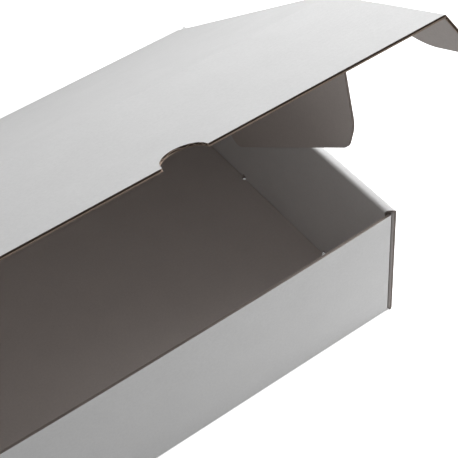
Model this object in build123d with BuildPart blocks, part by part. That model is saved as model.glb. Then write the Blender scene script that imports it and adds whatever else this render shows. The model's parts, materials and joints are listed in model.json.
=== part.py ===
from build123d import *

import os
from math import cos, radians, sin, tan

os.makedirs("parts", exist_ok=True)

# A mailer box folded from one sheet of thin corrugated board, lid half open.
# Millimetres. X runs along the box, -Y is the front, Z is up, and the origin is
# the middle of the underside.

# Board
board = 1.6

# Tray, outside
length = 294.0
width = 216.0
side_height = 92.4
front_drop = 3.4

# Folds, as radii of the board's middle
floor_fold = 1.2
corner_fold = 1.2
roll_fold = 1.6

# Double side walls, each an outer panel, two trapped corner flaps and an inner panel
wall_setback = 0.6
wall_slack = 0.6
inner_foot_gap = 0.8
inner_end_gap = 0.8
roll_end_taper = 3.2
corner_flap_length = 62.0
corner_flap_drop = 8.0
corner_flap_lift = 5.0
corner_flap_round = 8.0
corner_flap_foot_gap = 0.4

# Lock tabs of the inner panels, and their slots in the floor
tab_length = 87.0
tab_taper = 2.0
tab_offset = 3.3
tab_recess = 0.3
slot_play = 0.2
slot_end_play = 1.2
relief_radius = 1.6

# Creases between the moving flaps, and how far a flap folds from flat
crease_gap = 0.1
flap_play = 0.5
square_fold = 90.0

# Lid
lid_opening = 37.0
crease_stop = 2.0

# Front flap, folded a little down from the lid
flap_fold = 13.3
flap_floor_gap = 1.5
notch_radius = 11.0

# Dust flaps, hanging from the lid's sides inside the side walls
dust_fold = square_fold
dust_fold_limit = 135.0
dust_floor_gap = 4.0
dust_front_slant = 23.7
dust_rear_slant = 7.0
dust_rear_gap = 4.0
dust_corner_height = 12.5
dust_corner_length = 14.8
dust_front_round = 25.0
dust_corner_round = 11.0
dust_rear_round = 8.0

# Ears on the front flap's sides
ear_fold = 62.0
ear_play = 0.4
ear_width = 28.0
ear_length = 49.5
ear_back_round = 22.0
ear_front_round = 10.0

# Places that follow from the sizes above
half = board / 2
outer_mid_x = length / 2 - half
corner_mid_x = outer_mid_x - board - wall_slack
inner_mid_x = corner_mid_x - board - wall_slack
inner_face_x = inner_mid_x - half
wall_mid_y = width / 2 - wall_setback - half
wall_inner_y = wall_mid_y - half
front_height = side_height - front_drop
wall_straight_x = corner_mid_x - corner_fold
inner_foot = board + inner_foot_gap

hinge_y = wall_mid_y
hinge_z = side_height - half
lid_depth = hinge_y + wall_inner_y - flap_play - half
lid_crease_x = inner_face_x - flap_play - half
flap_depth = hinge_z - board - flap_floor_gap
flap_crease_x = lid_crease_x - board - ear_play
dust_front = lid_depth - crease_stop
dust_depth = hinge_z - board - dust_floor_gap

# Pitches of the lid and the front flap above the horizontal, seen from the side
lid_pitch = radians(lid_opening)
flap_pitch = radians(lid_opening - flap_fold)


def forward(pitch):
    """Direction from a crease to the free edge of a panel raised by pitch."""
    return Vector(0, -cos(pitch), sin(pitch))


def outward(pitch):
    """Outside normal of a panel raised by pitch."""
    return Vector(0, sin(pitch), cos(pitch))


def fold_direction(side, fold, normal):
    """Direction away from a side crease, folded from flat towards the inside."""
    return Vector(side, 0, 0) * cos(radians(fold)) - normal * sin(radians(fold))


def fold_normal(side, fold, normal):
    """Outside normal of a side flap folded from flat towards the inside."""
    return normal * cos(radians(fold)) + Vector(side, 0, 0) * sin(radians(fold))


def crease_seat(plane, fold_limit):
    """Cut for a flap's creased edge: x runs away from the crease, y to the outside."""
    reach = half + crease_gap
    turn = radians(fold_limit)
    inner_x = (reach - board * cos(turn)) / sin(turn)
    with BuildSketch(plane) as seat:
        Circle(reach)
        with BuildLine():
            Polyline(
                (0, 0),
                (reach * sin(turn), -reach * cos(turn)),
                (inner_x, -board),
                (-board, -board),
                (-board, 0),
                close=True,
            )
        make_face()
    return seat.sketch


# Hinge points and planes of the lid and the front flap
lid_hinge = Vector(0, hinge_y, hinge_z)
lid_along = forward(lid_pitch)
lid_out = outward(lid_pitch)
flap_hinge = lid_hinge + lid_along * lid_depth
flap_along = forward(flap_pitch)
flap_out = outward(flap_pitch)
lid_face = Plane(lid_hinge, x_dir=(1, 0, 0), z_dir=-lid_out)
lid_section = Plane(lid_hinge, x_dir=lid_along, z_dir=(-1, 0, 0))
flap_face = Plane(flap_hinge, x_dir=(1, 0, 0), z_dir=-flap_out)
flap_section = Plane(flap_hinge, x_dir=flap_along, z_dir=(-1, 0, 0))

# Tray: floor, front and back walls, and the rolled double side walls, one folded sheet
with BuildPart() as tray:
    # One strip of board across the box: inner panel, roll, outer panel, floor and back up
    with BuildSketch(Plane.XZ) as side_strip:
        with BuildLine():
            FilletPolyline(
                (-inner_mid_x, inner_foot),
                (-inner_mid_x, side_height - half),
                (-outer_mid_x, side_height - half),
                (-outer_mid_x, half),
                (outer_mid_x, half),
                (outer_mid_x, side_height - half),
                (inner_mid_x, side_height - half),
                (inner_mid_x, inner_foot),
                radius=[roll_fold, roll_fold, floor_fold, floor_fold, roll_fold, roll_fold],
            )
        trace(line_width=board)
    extrude(amount=width / 2, both=True)

    # The floor stops at the folds of the front and back walls
    floor_end = wall_mid_y - floor_fold
    with BuildSketch() as floor_ends:
        with Locations((0, width / 2), (0, -width / 2)):
            Rectangle(length - 2 * board, 2 * (width / 2 - floor_end))
    extrude(amount=inner_foot, mode=Mode.SUBTRACT)

    # The inner panels stop behind the front and back walls
    inner_end = wall_inner_y - inner_end_gap
    with BuildSketch(Plane.XY.offset(board)) as inner_ends:
        with GridLocations(2 * inner_mid_x, width, 2, 2):
            Rectangle(board + wall_slack, width - 2 * inner_end)
    extrude(amount=side_height - 2 * board, mode=Mode.SUBTRACT)

    # The rolls' raw ends run back from the outer panel to the inner one
    for side in (-1, 1):
        for end in (-1, 1):
            with BuildSketch(Plane.XY.offset(side_height - board - roll_fold)) as roll_end:
                with BuildLine():
                    Polyline(
                        (side * (length / 2 - board), end * width),
                        (side * (length / 2 - board), end * width / 2),
                        (side * inner_face_x, end * (width / 2 - roll_end_taper)),
                        (side * (inner_face_x - board), end * (width / 2 - roll_end_taper)),
                        (side * (inner_face_x - board), end * width),
                        close=True,
                    )
                make_face()
            extrude(amount=2 * board + roll_fold, mode=Mode.SUBTRACT)

    # Front wall, floor and back wall, with the folds between them
    with BuildSketch(Plane.YZ) as end_strip:
        with BuildLine():
            FilletPolyline(
                (-wall_mid_y, front_height),
                (-wall_mid_y, half),
                (wall_mid_y, half),
                (wall_mid_y, front_height),
                radius=floor_fold,
            )
        trace(line_width=board)
    extrude(amount=wall_straight_x, both=True)

    # The back wall rises to the lid's crease, which is rounded over
    with BuildSketch(Plane.YZ) as back_rise:
        with Locations((wall_mid_y, (front_height + hinge_z) / 2)):
            Rectangle(board, hinge_z - front_height)
        with Locations((hinge_y, hinge_z)):
            Circle(half)
    extrude(amount=lid_crease_x + half, both=True)

    # Corner flaps turn back from the front and back walls into the side walls
    corner_foot = board + corner_flap_foot_gap
    fold_stub = 2 * corner_fold
    fold_stub_y = wall_mid_y - fold_stub
    flap_end_y = wall_mid_y - corner_flap_length
    for side in (-1, 1):
        for end in (-1, 1):
            with BuildSketch(Plane.XY.offset(corner_foot)) as corner_turn:
                with BuildLine():
                    FilletPolyline(
                        (side * corner_mid_x, end * fold_stub_y),
                        (side * corner_mid_x, end * wall_mid_y),
                        (side * (corner_mid_x - fold_stub), end * wall_mid_y),
                        radius=corner_fold,
                    )
                trace(line_width=board)
            extrude(amount=front_height - corner_foot)

            with BuildSketch(Plane.YZ.offset(side * corner_mid_x)) as corner_flap:
                with BuildLine():
                    Polyline(
                        (end * fold_stub_y, corner_foot),
                        (end * fold_stub_y, front_height),
                        (end * flap_end_y, front_height - corner_flap_drop),
                        (end * flap_end_y, corner_foot + corner_flap_lift),
                        close=True,
                    )
                make_face()
                free_corners = corner_flap.vertices().group_by(Axis.X)[0 if end > 0 else -1]
                fillet(free_corners, corner_flap_round)
            extrude(amount=half, both=True)

    # Slots through the floor, a little ahead of its middle, with a round relief at each end
    slot_reach = tab_length / 2 + slot_end_play
    with BuildSketch() as slots:
        with Locations((inner_mid_x, -tab_offset), (-inner_mid_x, -tab_offset)):
            Rectangle(board + 2 * slot_play, 2 * slot_reach)
        with Locations((0, -tab_offset)):
            with GridLocations(2 * inner_face_x, 2 * slot_reach, 2, 2):
                Circle(relief_radius)
    extrude(amount=board, mode=Mode.SUBTRACT)

    # Lock tabs of the inner panels down in the slots, relieved beside their shoulders
    tab_front_y = -tab_offset - tab_length / 2
    tab_rear_y = -tab_offset + tab_length / 2
    relief_z = board + relief_radius

    for side in (-1, 1):
        with BuildSketch(Plane.YZ.offset(side * inner_mid_x)) as lock_tab:
            with BuildLine():
                Polyline(
                    (tab_front_y, inner_foot),
                    (tab_front_y + tab_taper, tab_recess),
                    (tab_rear_y - tab_taper, tab_recess),
                    (tab_rear_y, inner_foot),
                    close=True,
                )
            make_face()
        extrude(amount=half, both=True)
        with BuildSketch(Plane.YZ.offset(side * inner_mid_x)) as tab_reliefs:
            with Locations((-tab_offset - slot_reach, relief_z), (-tab_offset + slot_reach, relief_z)):
                Circle(relief_radius)
        extrude(amount=half, both=True, mode=Mode.SUBTRACT)

tray.part.label = "tray"
export_step(tray.part, "parts/tray.step")

# Lid: a flat panel, its free creases rounded for the flaps that turn on them
with BuildPart() as lid_panel:
    crease_start = half + crease_gap
    with BuildSketch(lid_face) as lid_outline:
        with Locations((0, (crease_start + lid_depth) / 2)):
            Rectangle(2 * lid_crease_x, lid_depth - crease_start)
    extrude(amount=half, both=True)

    with BuildSketch(lid_section) as front_crease:
        with Locations((lid_depth, 0)):
            Circle(half)
    extrude(amount=flap_crease_x, both=True)

    for side in (-1, 1):
        crease_corner = lid_hinge + Vector(side * lid_crease_x, 0, 0) + lid_along * dust_rear_gap
        with BuildSketch(Plane(crease_corner, z_dir=lid_along)) as side_crease:
            Circle(half)
        extrude(amount=dust_front - dust_rear_gap)

lid_panel.part.label = "lid_panel"
export_step(lid_panel.part, "parts/lid_panel.step")

# Front flap: tucks down behind the front wall, with a half-round thumb notch
with BuildPart() as front_flap:
    with BuildSketch(flap_face) as flap_outline:
        with Locations((0, flap_depth / 2)):
            Rectangle(2 * flap_crease_x, flap_depth)
        with Locations((0, flap_depth)):
            Circle(notch_radius, mode=Mode.SUBTRACT)
    extrude(amount=half, both=True)
    extrude(crease_seat(flap_section, square_fold), amount=length / 2, both=True, mode=Mode.SUBTRACT)

    for side in (-1, 1):
        crease_corner = (
            flap_hinge
            + Vector(side * flap_crease_x, 0, 0)
            + flap_along * (flap_depth - ear_length)
        )
        with BuildSketch(Plane(crease_corner, z_dir=flap_along)) as ear_crease:
            Circle(half)
        extrude(amount=ear_length)

front_flap.part.label = "front_flap"
export_step(front_flap.part, "parts/front_flap.step")

# Flaps on the left and right sides: outlines have x along the crease and y away from it
for side_name, side in (("left", -1), ("right", 1)):
    # Dust flap: slanted in front, with a cut and rounded lower front corner
    dust_crease = lid_hinge + Vector(side * lid_crease_x, 0, 0)
    dust_away = fold_direction(side, dust_fold, lid_out)
    dust_out = fold_normal(side, dust_fold, lid_out)
    dust_face = Plane(dust_crease, x_dir=lid_along, z_dir=lid_along.cross(dust_away))
    dust_section = Plane(dust_crease, x_dir=dust_away, z_dir=dust_away.cross(dust_out))
    with BuildPart() as dust_flap:
        corner_top = dust_depth - dust_corner_height
        front_corner = Vector(dust_front - corner_top * tan(radians(dust_front_slant)), corner_top)
        lower_corner = Vector(front_corner.X - dust_corner_length, dust_depth)
        rear_corner = Vector(dust_rear_gap + dust_depth * tan(radians(dust_rear_slant)), dust_depth)
        with BuildSketch(dust_face) as dust_outline:
            with BuildLine():
                Polyline(
                    (dust_rear_gap, 0),
                    (dust_front, 0),
                    front_corner,
                    lower_corner,
                    rear_corner,
                    close=True,
                )
            make_face()
            for corner, radius in (
                (front_corner, dust_front_round),
                (lower_corner, dust_corner_round),
                (rear_corner, dust_rear_round),
            ):
                fillet(dust_outline.vertices().sort_by_distance(corner)[0], radius)
        extrude(amount=half, both=True)
        dust_seat = crease_seat(dust_section, dust_fold_limit)
        extrude(dust_seat, amount=width, both=True, mode=Mode.SUBTRACT)
    dust_flap.part.label = f"dust_flap_{side_name}"
    export_step(dust_flap.part, f"parts/dust_flap_{side_name}.step")

    # Ear: a short tab at the free end of the front flap's side, round at its back corner
    ear_crease = flap_hinge + Vector(side * flap_crease_x, 0, 0)
    ear_away = fold_direction(side, ear_fold, flap_out)
    ear_out = fold_normal(side, ear_fold, flap_out)
    ear_face = Plane(ear_crease, x_dir=flap_along, z_dir=flap_along.cross(ear_away))
    ear_section = Plane(ear_crease, x_dir=ear_away, z_dir=ear_away.cross(ear_out))
    with BuildPart() as ear:
        with BuildSketch(ear_face) as ear_outline:
            with Locations((flap_depth - ear_length / 2, ear_width / 2)):
                Rectangle(ear_length, ear_width)
            for corner, radius in (
                (Vector(flap_depth - ear_length, ear_width), ear_back_round),
                (Vector(flap_depth, ear_width), ear_front_round),
            ):
                fillet(ear_outline.vertices().sort_by_distance(corner)[0], radius)
        extrude(amount=half, both=True)
        ear_seat = crease_seat(ear_section, square_fold)
        extrude(ear_seat, amount=width, both=True, mode=Mode.SUBTRACT)
    ear.part.label = f"ear_{side_name}"
    export_step(ear.part, f"parts/ear_{side_name}.step")
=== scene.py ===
import json
from math import cos, pi, radians, sin

import bmesh
import bpy
from mathutils import Matrix, Vector
from mathutils.bvhtree import BVHTree


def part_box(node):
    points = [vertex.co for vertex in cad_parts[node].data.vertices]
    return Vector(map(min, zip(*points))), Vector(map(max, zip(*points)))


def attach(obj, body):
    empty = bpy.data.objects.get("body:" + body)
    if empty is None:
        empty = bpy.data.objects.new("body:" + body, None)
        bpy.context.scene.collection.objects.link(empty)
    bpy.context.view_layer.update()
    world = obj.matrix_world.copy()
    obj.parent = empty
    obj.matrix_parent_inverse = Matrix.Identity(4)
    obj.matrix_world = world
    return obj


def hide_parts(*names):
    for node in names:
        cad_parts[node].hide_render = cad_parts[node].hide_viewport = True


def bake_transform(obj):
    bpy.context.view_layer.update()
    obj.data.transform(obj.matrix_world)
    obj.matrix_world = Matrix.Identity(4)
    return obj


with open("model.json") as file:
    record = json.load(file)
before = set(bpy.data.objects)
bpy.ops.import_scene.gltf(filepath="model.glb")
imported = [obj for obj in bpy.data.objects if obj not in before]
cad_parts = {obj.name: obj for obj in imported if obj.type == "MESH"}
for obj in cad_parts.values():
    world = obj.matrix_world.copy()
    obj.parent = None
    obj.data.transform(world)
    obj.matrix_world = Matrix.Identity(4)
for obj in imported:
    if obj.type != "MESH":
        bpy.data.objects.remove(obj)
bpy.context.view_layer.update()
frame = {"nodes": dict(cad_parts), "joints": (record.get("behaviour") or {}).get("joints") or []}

# A mailer box of thin corrugated board, lid half open. Metres, in the frame of the CAD model.
scene = bpy.context.scene
MM = 0.001
TINY = 0.001 * MM
UP = Vector((0, 0, 1))
BACK = Vector((0, 1, 0))
SIDES = (("left", Vector((-1, 0, 0))), ("right", Vector((1, 0, 0))))
NODES = frame["nodes"]
JOINTS = {joint["name"]: joint for joint in frame["joints"]}

# Camera at the photograph's viewing angle, for a square image
IMAGE_WIDTH = 458
FOCAL_PIXELS = 1153.2
SENSOR_WIDTH = 36.0
CAMERA_PLACE = Vector((-0.1545, -0.4346, 0.5779))
CAMERA_FORWARD = Vector((0.3363, 0.5748, -0.7460))
CAMERA_RIGHT = Vector((0.8153, -0.5742, -0.0749))

# Studio
LAMP_AIM = Vector((0.0, 0.0, 0.10))
WORLD_LEVEL = 0.17
FLOOR_ALBEDO = 0.93
FLOOR_GLOW = 0.86
FLOOR_RADIUS = 6.0
FLOOR_CORNERS = 96
FLOOR_HEIGHT = -0.05 * MM
# The patch of floor under the box is a painted shadow: it glows less than the rest of the floor
PAINTED_SHADOW_GLOW = 0.28
COVERED_SHARE = 0.99
COVERED_HEIGHT = -0.03 * MM

# Board: two liners with a fluted medium between them
BOARD = 1.6 * MM
HALF = BOARD / 2
BOARD_TOLERANCE = 0.15 * MM
LEAST_FACING = 0.3
LINER = 0.2 * MM
MEDIUM = 0.16 * MM
FLUTE_PITCH = 3.3 * MM

# Raw edges, opened between the liners, and the ribbon of medium in them
RECESS = 0.7 * MM
RIM_DEPTH = 0.06 * MM
WAVE_STEP = 0.22 * MM
STRAIGHT_STEP = 5 * MM
LEAST_SLANT = 0.05  # across the flutes, above which an edge shows their waves

# Paper: colours, how far their grain strays, and the heights of their ridges and fuzz
OUTER_WHITE = (0.80, 0.80, 0.80)
OUTER_GRAIN = 0.028
INNER_WHITE = (0.69, 0.645, 0.62)
INNER_GRAIN = 0.034
KRAFT = (0.48, 0.375, 0.305)
# The hollow of the flutes in a raw edge is painted shade: a near-black colour stands in for the shade
# between the liners
HOLLOW_PAINTED_SHADE = (0.11, 0.085, 0.068)
KRAFT_GRAIN = 0.10
# A greyer kraft for the raw edges of the tray and the dust flaps
GREY_KRAFT = (0.43, 0.375, 0.345)
# The hollow of the tray's and the dust flaps' raw edges is painted light: paler than their kraft, so that
# the recess shows none of its shade
HOLLOW_PAINTED_LIGHT = (0.46, 0.41, 0.385)
GREY_EDGES_GRAIN = 0.08
RIDGE = 0.010 * MM
FUZZ = 0.012 * MM

# Front wall of the tray, and how it bows along its length and up to its free top edge
WALL_HEIGHT = 89.0 * MM
WALL_HALF = 142.8 * MM
WALL_FACE = -105.6 * MM  # a little behind both faces of the wall
WALL_BAND = 3 * MM
WALL_BOW = 1.2 * MM
ACROSS_POWER = 2.7
RISE_POWER = 1.5
BOW_CUTS = 11
BOW_STEP = 12 * MM
END_WALL = 0.7  # least share of y in the normal of a front or back wall's face

# Creases: how near to a hinge's axis, and how far along it, its nose and seat faces lie
CREASE_NEAR = 0.7 * MM
CREASE_FAR = 2.2 * MM
TRAY_CREASE = 140.6 * MM
ANY_CREASE = 1.0

# Strips of liner over the creases, with their points' distances from the bend
PROUD = 0.02 * MM
WINGS = [PROUD, 0.35 * MM, 0.7 * MM, 1.4 * MM]
BEND_PARTS = 12
INNER_STEPS = [0.1 * MM, 0.2 * MM, 0.35 * MM, 0.6 * MM, 1.6 * MM]
CORNER_REACH = 1.3 * MM  # a panel's corners at a crease lie nearer to the axis than this
STRIP_SETBACK = 0.2 * MM

# The lid and the front flap at rest: their hinges, and the ways along and out of them
FLAP_LENGTH = 88.5 * MM
lid_joint = JOINTS["lid_crease"]
flap_joint = JOINTS["front_flap_crease"]
lid_hinge = Vector(lid_joint["pos_m"])
flap_hinge = Vector(flap_joint["pos_m"])
lid_pitch = radians(-lid_joint["range_deg"][0])
flap_pitch = lid_pitch - radians(flap_joint["range_deg"][1])
lid_along = Vector((0, -cos(lid_pitch), sin(lid_pitch)))
flap_along = Vector((0, -cos(flap_pitch), sin(flap_pitch)))
lid_out = Vector((0, sin(lid_pitch), cos(lid_pitch)))
flap_out = Vector((0, sin(flap_pitch), cos(flap_pitch)))
flap_tip = flap_hinge + flap_along * FLAP_LENGTH


def add_object(name, data):
    """A new object in the scene that shows the data."""
    added = bpy.data.objects.new(name, data)
    scene.collection.objects.link(added)
    return added


# Camera, lamps, world and floor
def add_camera():
    """The scene's camera, level with CAMERA_RIGHT and looking along CAMERA_FORWARD."""
    forward = CAMERA_FORWARD.normalized()
    right = (CAMERA_RIGHT - forward * CAMERA_RIGHT.dot(forward)).normalized()
    up = right.cross(forward)
    data = bpy.data.cameras.new("camera")
    data.sensor_width = SENSOR_WIDTH
    data.lens = FOCAL_PIXELS / IMAGE_WIDTH * SENSOR_WIDTH
    camera = add_object("camera", data)
    turn = Matrix((right, up, -forward)).transposed().to_4x4()
    camera.matrix_world = Matrix.Translation(CAMERA_PLACE) @ turn
    scene.camera = camera


def add_softbox(name, place, size, power):
    """A square area lamp at place, turned to LAMP_AIM and not seen by the camera."""
    data = bpy.data.lights.new(name, "AREA")
    data.shape = "SQUARE"
    data.size = size
    data.energy = power
    lamp = add_object(name, data)
    lamp.location = place
    lamp.rotation_euler = (LAMP_AIM - Vector(place)).to_track_quat("-Z", "Y").to_euler()
    lamp.visible_camera = False


def shown_white(tree, dim):
    """A mix that is dim as light, and its second input to camera, glossy and transmission rays."""
    rays = tree.nodes.new("ShaderNodeLightPath")
    glossy = tree.nodes.new("ShaderNodeMath")
    glossy.operation = "MAXIMUM"
    tree.links.new(rays.outputs["Is Camera Ray"], glossy.inputs[0])
    tree.links.new(rays.outputs["Is Glossy Ray"], glossy.inputs[1])
    seen = tree.nodes.new("ShaderNodeMath")
    seen.operation = "MAXIMUM"
    tree.links.new(glossy.outputs[0], seen.inputs[0])
    tree.links.new(rays.outputs["Is Transmission Ray"], seen.inputs[1])
    mix = tree.nodes.new("ShaderNodeMixShader")
    tree.links.new(seen.outputs[0], mix.inputs[0])
    tree.links.new(dim, mix.inputs[1])
    return mix


def add_world(level):
    """A dim grey world for light that shows as plain white."""
    world = bpy.data.worlds.new("studio")
    scene.world = world
    world.use_nodes = True
    tree = world.node_tree
    dim = tree.nodes["Background"]
    dim.inputs["Color"].default_value = (1, 1, 1, 1)
    dim.inputs["Strength"].default_value = level
    white = tree.nodes.new("ShaderNodeBackground")
    white.inputs["Color"].default_value = (1, 1, 1, 1)
    white.inputs["Strength"].default_value = 1.0
    mix = shown_white(tree, dim.outputs[0])
    tree.links.new(white.outputs[0], mix.inputs[2])
    tree.links.new(mix.outputs[0], tree.nodes["World Output"].inputs["Surface"])


def floor_paint(name, glow):
    """Pale matt paint that shows paler than its light makes it."""
    material = bpy.data.materials.new(name)
    material.use_nodes = True
    tree = material.node_tree
    surface = tree.nodes["Principled BSDF"]
    surface.inputs["Base Color"].default_value = (FLOOR_ALBEDO, FLOOR_ALBEDO, FLOOR_ALBEDO, 1)
    surface.inputs["Roughness"].default_value = 0.9
    surface.inputs["Specular IOR Level"].default_value = 0.2
    light = tree.nodes.new("ShaderNodeEmission")
    light.inputs["Strength"].default_value = glow
    both = tree.nodes.new("ShaderNodeAddShader")
    tree.links.new(surface.outputs[0], both.inputs[0])
    tree.links.new(light.outputs[0], both.inputs[1])
    mix = shown_white(tree, surface.outputs[0])
    tree.links.new(both.outputs[0], mix.inputs[2])
    tree.links.new(mix.outputs[0], tree.nodes["Material Output"].inputs["Surface"])
    return material


def add_ground(name, corners, height, material):
    """A flat face on the ground with those corners."""
    mesh = bpy.data.meshes.new(name)
    mesh.from_pydata([(x, y, height) for x, y in corners], [], [range(len(corners))])
    mesh.materials.append(material)
    ground = add_object(name, mesh)


scene.view_settings.view_transform = "Standard"
add_camera()
add_softbox("right_near", (0.35, 0.10, 0.60), size=0.35, power=1.33)
add_softbox("right_high", (0.70, 0.0, 0.70), size=0.6, power=2.95)
add_softbox("right_front", (0.75, -0.60, 0.12), size=0.3, power=2.3)
add_softbox("top", (0.0, 0.0, 1.20), size=1.0, power=1.25)
add_world(WORLD_LEVEL)

# A pale round floor that keeps the shadow of the box, and the patch of it that the box covers, which glows
# less: a painted shadow
turns = [2 * pi * k / FLOOR_CORNERS for k in range(FLOOR_CORNERS)]
round_edge = [(FLOOR_RADIUS * cos(turn), FLOOR_RADIUS * sin(turn)) for turn in turns]
add_ground("floor", round_edge, FLOOR_HEIGHT, floor_paint("floor", FLOOR_GLOW))
covered_low, covered_high = [[c * COVERED_SHARE for c in corner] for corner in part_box("tray")]
covered = [
    (covered_low[0], covered_low[1]),
    (covered_high[0], covered_low[1]),
    (covered_high[0], covered_high[1]),
    (covered_low[0], covered_high[1]),
]
add_ground("covered_floor_painted_shadow", covered, COVERED_HEIGHT, floor_paint("covered_floor_painted_shadow", PAINTED_SHADOW_GLOW))


# Materials: paper liners, the medium between them, and painted shade for the hollow of the flutes
def paper(name, colour, grain, across=None):
    """Matt paper with cloudy fibres, a fine tooth and the faint ridges of the flutes under it."""
    material = bpy.data.materials.new(name)
    material.use_nodes = True
    nodes = material.node_tree.nodes
    links = material.node_tree.links
    surface = nodes["Principled BSDF"]
    surface.inputs["Specular IOR Level"].default_value = 0.25
    places = nodes.new("ShaderNodeTexCoord").outputs["Object"]

    def noise(scale, detail, low, high):
        """Noise in the object's own space, with its usual range spread from low to high."""
        cloud = nodes.new("ShaderNodeTexNoise")
        cloud.inputs["Scale"].default_value = scale
        cloud.inputs["Detail"].default_value = detail
        links.new(places, cloud.inputs["Vector"])
        spread = nodes.new("ShaderNodeMapRange")
        spread.inputs["From Min"].default_value = 0.25
        spread.inputs["From Max"].default_value = 0.75
        spread.inputs["To Min"].default_value = low
        spread.inputs["To Max"].default_value = high
        links.new(cloud.outputs["Fac"], spread.inputs["Value"])
        return spread.outputs[0]

    def combine(operation, a, b):
        """Two values put together by a Math node."""
        found = nodes.new("ShaderNodeMath")
        found.operation = operation
        links.new(a, found.inputs[0])
        links.new(b, found.inputs[1])
        return found.outputs[0]

    clouds = noise(45.0, 3.0, 1 - grain * 0.6, 1 + grain * 0.6)
    blotches = noise(650.0, 4.0, 1 - grain, 1 + grain)
    specks = noise(3200.0, 2.0, 1 - grain * 0.9, 1 + grain * 0.9)
    shade = combine("MULTIPLY", combine("MULTIPLY", clouds, blotches), specks)
    tint = nodes.new("ShaderNodeVectorMath")
    tint.operation = "SCALE"
    tint.inputs[0].default_value = colour
    links.new(shade, tint.inputs["Scale"])
    links.new(tint.outputs[0], surface.inputs["Base Color"])
    links.new(noise(900.0, 3.0, 0.76, 0.90), surface.inputs["Roughness"])

    height = noise(2600.0, 3.0, -FUZZ, FUZZ)
    if across is not None:
        along = nodes.new("ShaderNodeVectorMath")
        along.operation = "DOT_PRODUCT"
        along.inputs[1].default_value = Vector(across) * (2 * pi / FLUTE_PITCH)
        links.new(places, along.inputs[0])
        wave = nodes.new("ShaderNodeMath")
        wave.operation = "SINE"
        links.new(along.outputs["Value"], wave.inputs[0])
        ridges = nodes.new("ShaderNodeMath")
        ridges.operation = "MULTIPLY"
        ridges.inputs[1].default_value = RIDGE
        links.new(wave.outputs[0], ridges.inputs[0])
        height = combine("ADD", height, ridges.outputs[0])
    bump = nodes.new("ShaderNodeBump")
    bump.inputs["Strength"].default_value = 1.0
    bump.inputs["Distance"].default_value = 1.0
    links.new(height, bump.inputs["Height"])
    links.new(bump.outputs[0], surface.inputs["Normal"])
    return material


def liners(name, across):
    """The outer and inner liner of a piece whose flutes lie across that direction."""
    outer = paper(f"{name}_outer_liner", OUTER_WHITE, OUTER_GRAIN, across)
    inner = paper(f"{name}_inner_liner", INNER_WHITE, INNER_GRAIN, across)
    return outer, inner


# The kraft of the raw edges, and painted shade for the hollow of their flutes
EDGES = (
    paper("kraft_edge", KRAFT, KRAFT_GRAIN),
    paper("flute_hollow_painted_shade", HOLLOW_PAINTED_SHADE, KRAFT_GRAIN),
)
# Greyer kraft for the raw edges of the tray and the dust flaps, and painted light for the hollow of their
# flutes
GREY_KRAFT_AND_PAINTED_LIGHT = (
    paper("grey_kraft_edge", GREY_KRAFT, GREY_EDGES_GRAIN),
    paper("hollow_painted_light", HOLLOW_PAINTED_LIGHT, GREY_EDGES_GRAIN),
)


# A node's shape: its faces as liners and raw edges, and the medium between the liners
def merged_shape(node):
    """The CAD node's faces, with the corners that they share joined."""
    shape = bmesh.new()
    shape.from_mesh(NODES[node].data)
    bmesh.ops.remove_doubles(shape, verts=shape.verts, dist=2 * TINY)
    for face in shape.faces:
        face.smooth = False
    shape.normal_update()
    return shape


def at_crease(face, crease):
    """Whether a face belongs to the rounded nose or the seat of a crease."""
    joint, reach = crease
    axis = Vector(joint["axis"])
    offset = face.calc_center_median() - Vector(joint["pos_m"])
    along = offset.dot(axis)
    distance = (offset - axis * along).length
    return abs(along) < reach and CREASE_NEAR < distance < CREASE_FAR


def covers_board(face, tree):
    """Whether the solid behind a face is as thick as one board."""
    nudge = 10 * TINY
    start = face.calc_center_median() - face.normal * nudge
    through = tree.ray_cast(start, -face.normal)[3]
    return through is not None and abs(through + nudge - BOARD) <= BOARD_TOLERANCE


def joined_faces(first, barred):
    """The faces that join up with the first one without crossing a barred face."""
    found = {first}
    waiting = [first]
    while waiting:
        for edge in waiting.pop().edges:
            for face in edge.link_faces:
                if face not in found and face not in barred:
                    found.add(face)
                    waiting.append(face)
    return found


def sort_faces(shape, outside, crease_out, creases):
    """The shape's faces as outer liner, inner liner and raw board edge."""
    tree = BVHTree.FromBMesh(shape)
    creased = {face for face in shape.faces if any(at_crease(face, c) for c in creases)}
    raw = {face for face in shape.faces if face not in creased and not covers_board(face, tree)}
    facing = [face for face in shape.faces if face.normal.dot(outside) > LEAST_FACING]
    first = max((face for face in facing if face not in raw), key=lambda face: face.calc_area())
    out = crease_out or first.normal
    outer = joined_faces(first, raw | creased) | {face for face in creased if face.normal.dot(out) > 0}
    inner = set(shape.faces) - outer - raw
    return outer, inner, raw


def edge_runs(shape, raw, outer):
    """Runs of the sharp edges between raw board edges and the outer liner."""
    found = {}
    for edge in shape.edges:
        cut = [face for face in edge.link_faces if face in raw]
        liner = [face for face in edge.link_faces if face in outer]
        if len(cut) == 1 and len(liner) == 1:
            found[edge] = (liner[0].normal.copy(), -cut[0].normal)
    runs = []
    while found:
        edge = next(iter(found))
        run = [(edge.verts[0], edge.verts[1], *found.pop(edge))]
        for forwards in (True, False):
            while True:
                corner = run[-1][1] if forwards else run[0][0]
                following = next((e for e in corner.link_edges if e in found), None)
                if following is None:
                    break
                other = following.other_vert(corner)
                normal, inward = found.pop(following)
                if forwards:
                    run.append((corner, other, normal, inward))
                else:
                    run.insert(0, (other, corner, normal, inward))
        runs.append([(a.co.copy(), b.co.copy(), normal, inward) for a, b, normal, inward in run])
    return runs


def resampled(run, step):
    """Evenly spaced places on a run, each with the liner's normal and the way into the board."""
    places = []
    for a, b, normal, inward in run:
        count = max(1, round((b - a).length / step))
        places += [(a.lerp(b, k / count), normal, inward) for k in range(count)]
    return places + [run[-1][1:]]


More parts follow.
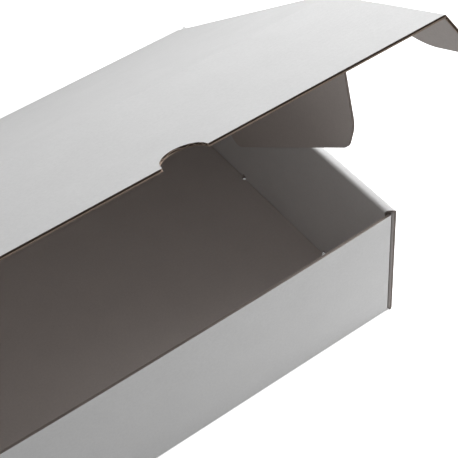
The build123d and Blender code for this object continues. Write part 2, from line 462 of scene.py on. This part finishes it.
def add_medium(shape, run, across, trough, slot):
    """The fluted medium in a raw edge: a ribbon that waves between the liners, low at trough."""
    swing = HALF - LINER - MEDIUM / 2
    slants = [abs((b - a).normalized().dot(across(normal))) for a, b, normal, inward in run]
    step = WAVE_STEP if max(slants) > LEAST_SLANT else STRAIGHT_STEP
    rows = []
    for place, normal, inward in resampled(run, step):
        turn = (place - trough).dot(across(normal)) * 2 * pi / FLUTE_PITCH
        middle = place - normal * (HALF + swing * cos(turn))
        rows.append(
            [
                shape.verts.new(middle + normal * rise * MEDIUM / 2 + inward * depth)
                for rise, depth in ((1, RECESS), (1, RIM_DEPTH), (-1, RIM_DEPTH), (-1, RECESS))
            ]
        )
    for a, b in zip(rows, rows[1:]):
        for k in range(4):
            shape.faces.new((a[k - 1], a[k], b[k], b[k - 1])).material_index = slot
    for row in (rows[0], rows[-1]):
        shape.faces.new(row).material_index = slot


def bow_wall(shape):
    """Bends the tray's front wall outwards between its ends, most along its free top edge."""
    for k in range(-BOW_CUTS, BOW_CUTS + 1):
        wall = [face for face in shape.faces if max(v.co.y for v in face.verts) < WALL_FACE + WALL_BAND]
        around = dict.fromkeys(part for face in wall for part in (*face.edges, *face.verts))
        bmesh.ops.bisect_plane(
            shape, geom=[*wall, *around], dist=TINY, plane_co=(k * BOW_STEP, 0, 0), plane_no=(1, 0, 0)
        )
    for vertex in shape.verts:
        across = abs(vertex.co.x) / WALL_HALF
        if vertex.co.y < WALL_FACE and across < 1:
            rise = max(vertex.co.z, 0) / WALL_HEIGHT
            vertex.co.y -= WALL_BOW * (1 - across**ACROSS_POWER) * rise**RISE_POWER


# The materials and flutes of a panel, by its faces
def by_side(face, outer):
    """Material of a flat panel's liner: 0 outside and 1 inside."""
    return 0 if outer else 1


def in_end_wall(normal):
    """Whether a face with that normal belongs to the tray's front or back wall."""
    return abs(normal.y) > END_WALL


def by_wall(face, outer):
    """Material of the tray's liners, with a pair of its own for the front and back walls."""
    return by_side(face, outer) + (2 if in_end_wall(face.normal) else 0)


def across_tray(normal):
    """The way across the tray's flutes: up its front and back walls, and backwards elsewhere."""
    return UP if in_end_wall(normal) else BACK


def across_panel(direction):
    """A way across the flutes that is the same all over a panel."""
    return lambda normal: direction


# The pieces: each is the CAD node's shape with its raw board edges opened between the liners
def finished(name, shape, materials):
    """The shape as an object with those materials."""
    mesh = bpy.data.meshes.new(name)
    shape.to_mesh(mesh)
    shape.free()
    for material in materials:
        mesh.materials.append(material)
    return add_object(name, mesh)


def board_piece(
    node, body, outside, creases, across, trough, materials,
    slots=by_side, crease_out=None, edges=EDGES, bend=None,
):
    """The node's board with its raw edges opened, riding on the body in the node's place."""
    shape = merged_shape(node)
    outer, inner, raw = sort_faces(shape, outside, crease_out, creases)
    for face in outer:
        face.material_index = slots(face, True)
    for face in inner:
        face.material_index = slots(face, False)
    runs = edge_runs(shape, raw, outer)
    kraft = len(materials)
    painted_hollow_slot = kraft + 1
    cut = [face for face in shape.faces if face in raw]
    before = set(shape.faces)
    bmesh.ops.inset_region(
        shape, faces=cut, thickness=LINER, depth=-RECESS, use_boundary=True, use_even_offset=True
    )
    for face in set(shape.faces) - before:
        face.material_index = kraft
    # The recessed cut faces take the second edge colour, which is painted: dark shade on the lid, the flap
    # and the ears, paler light on the tray and the dust flaps
    for face in cut:
        face.material_index = painted_hollow_slot
    for run in runs:
        add_medium(shape, run, across, trough, kraft)
    lowest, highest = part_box(node)
    for vertex in shape.verts:
        vertex.co = [min(max(c, a), b) for c, a, b in zip(vertex.co, lowest, highest)]
    bmesh.ops.recalc_face_normals(shape, faces=shape.faces)
    if bend:
        bend(shape)
    piece = finished(f"{node}_board", shape, (*materials, *edges))
    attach(piece, body)
    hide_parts(node)


tray_liners = liners("tray", BACK) + liners("tray_wall", UP)
board_piece(
    "tray", "tray", -UP, [(lid_joint, TRAY_CREASE)], across_tray, Vector((0, 0, WALL_HEIGHT)),
    tray_liners, by_wall, crease_out=BACK, edges=GREY_KRAFT_AND_PAINTED_LIGHT, bend=bow_wall,
)
side_creases = [(JOINTS[f"dust_flap_{name}_crease"], ANY_CREASE) for name, away in SIDES]
lid_liners = liners("lid_panel", lid_along)
board_piece(
    "lid_panel", "lid", UP, [(lid_joint, ANY_CREASE), (flap_joint, ANY_CREASE), *side_creases],
    across_panel(lid_along), flap_hinge, lid_liners,
)
ear_creases = [(JOINTS[f"ear_{name}_crease"], ANY_CREASE) for name, away in SIDES]
flap_liners = liners("front_flap", flap_along)
board_piece(
    "front_flap", "front_flap", UP, [(flap_joint, ANY_CREASE), *ear_creases],
    across_panel(flap_along), flap_tip, flap_liners,
)
for (name, away), side_crease, ear_crease in zip(SIDES, side_creases, ear_creases):
    board_piece(
        f"dust_flap_{name}", f"dust_flap_{name}", away, [side_crease],
        across_panel(lid_along), lid_hinge, liners(f"dust_flap_{name}", lid_along), edges=GREY_KRAFT_AND_PAINTED_LIGHT,
    )
    board_piece(
        f"ear_{name}", f"ear_{name}", away, [ear_crease],
        across_panel(flap_along), flap_tip, liners(f"ear_{name}", flap_along),
    )


# Strips of liner that bend over each hinge, one outside and one inside
def crease_span(node, joint):
    """The crease's two ends as distances from the joint's place along its axis."""
    place = Vector(joint["pos_m"])
    axis = Vector(joint["axis"])
    reach = []
    for vertex in NODES[node].data.vertices:
        offset = vertex.co - place
        along = offset.dot(axis)
        if (offset - axis * along).length < CORNER_REACH:
            reach.append(along)
    return min(reach) + STRIP_SETBACK, max(reach) - STRIP_SETBACK


def crease_strip(name, joint, span, section, ways, material):
    """A thin strip through the section's points and on along the joint's axis."""
    axis = Vector(joint["axis"])
    shape = bmesh.new()
    ends = []
    for along in span:
        top = [shape.verts.new(place + axis * along) for place in section]
        under = [shape.verts.new(v.co - way * 2 * PROUD) for v, way in zip(top, ways)]
        ends.append(top + under[::-1])
    for k in range(len(ends[0])):
        shape.faces.new((ends[0][k - 1], ends[0][k], ends[1][k], ends[1][k - 1]))
    for corners in ends:
        shape.faces.new(corners)
    bmesh.ops.recalc_face_normals(shape, faces=shape.faces)
    strip = finished(name, shape, [material])
    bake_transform(strip)


def add_crease(node, joint, parent_along, parent_out, child_along, child_out, materials):
    """The outer and inner strip of a crease, from the ways along and out of its two panels at rest."""
    place = Vector(joint["pos_m"])
    span = crease_span(node, joint)
    radius = HALF + PROUD

    turned = [parent_out.slerp(child_out, k / BEND_PARTS) for k in range(BEND_PARTS + 1)]
    section = [place + parent_out * radius + parent_along * wing for wing in WINGS[::-1]]
    section += [place + way * radius for way in turned]
    section += [place + child_out * radius + child_along * wing for wing in WINGS]
    ways = [parent_out] * len(WINGS) + turned + [child_out] * len(WINGS)
    crease_strip(
        f"{joint['name']}_outside", joint, span, section, ways,
        materials[0],
    )

    corner = place - (parent_out + child_out) * radius / (1 + parent_out.dot(child_out))
    section = [corner + parent_along * step for step in INNER_STEPS[::-1]] + [corner]
    section += [corner + child_along * step for step in INNER_STEPS]
    middle = -(parent_out + child_out).normalized()
    ways = [-parent_out] * len(INNER_STEPS) + [middle] + [-child_out] * len(INNER_STEPS)
    crease_strip(
        f"{joint['name']}_inside", joint, span, section, ways,
        materials[1],
    )


add_crease("lid_panel", lid_joint, -UP, BACK, lid_along, lid_out, lid_liners)
add_crease("front_flap", flap_joint, -lid_along, lid_out, flap_along, flap_out, flap_liners)
for name, away in SIDES:
    dust_joint = JOINTS[f"dust_flap_{name}_crease"]
    add_crease(f"dust_flap_{name}", dust_joint, -away, lid_out, -lid_out, away, lid_liners)
    ear_joint = JOINTS[f"ear_{name}_crease"]
    fold = radians(ear_joint["range_deg"][1])
    ear_along = away * cos(fold) - flap_out * sin(fold)
    ear_out = away * sin(fold) + flap_out * cos(fold)
    add_crease(f"ear_{name}", ear_joint, -away, flap_out, ear_along, ear_out, flap_liners)
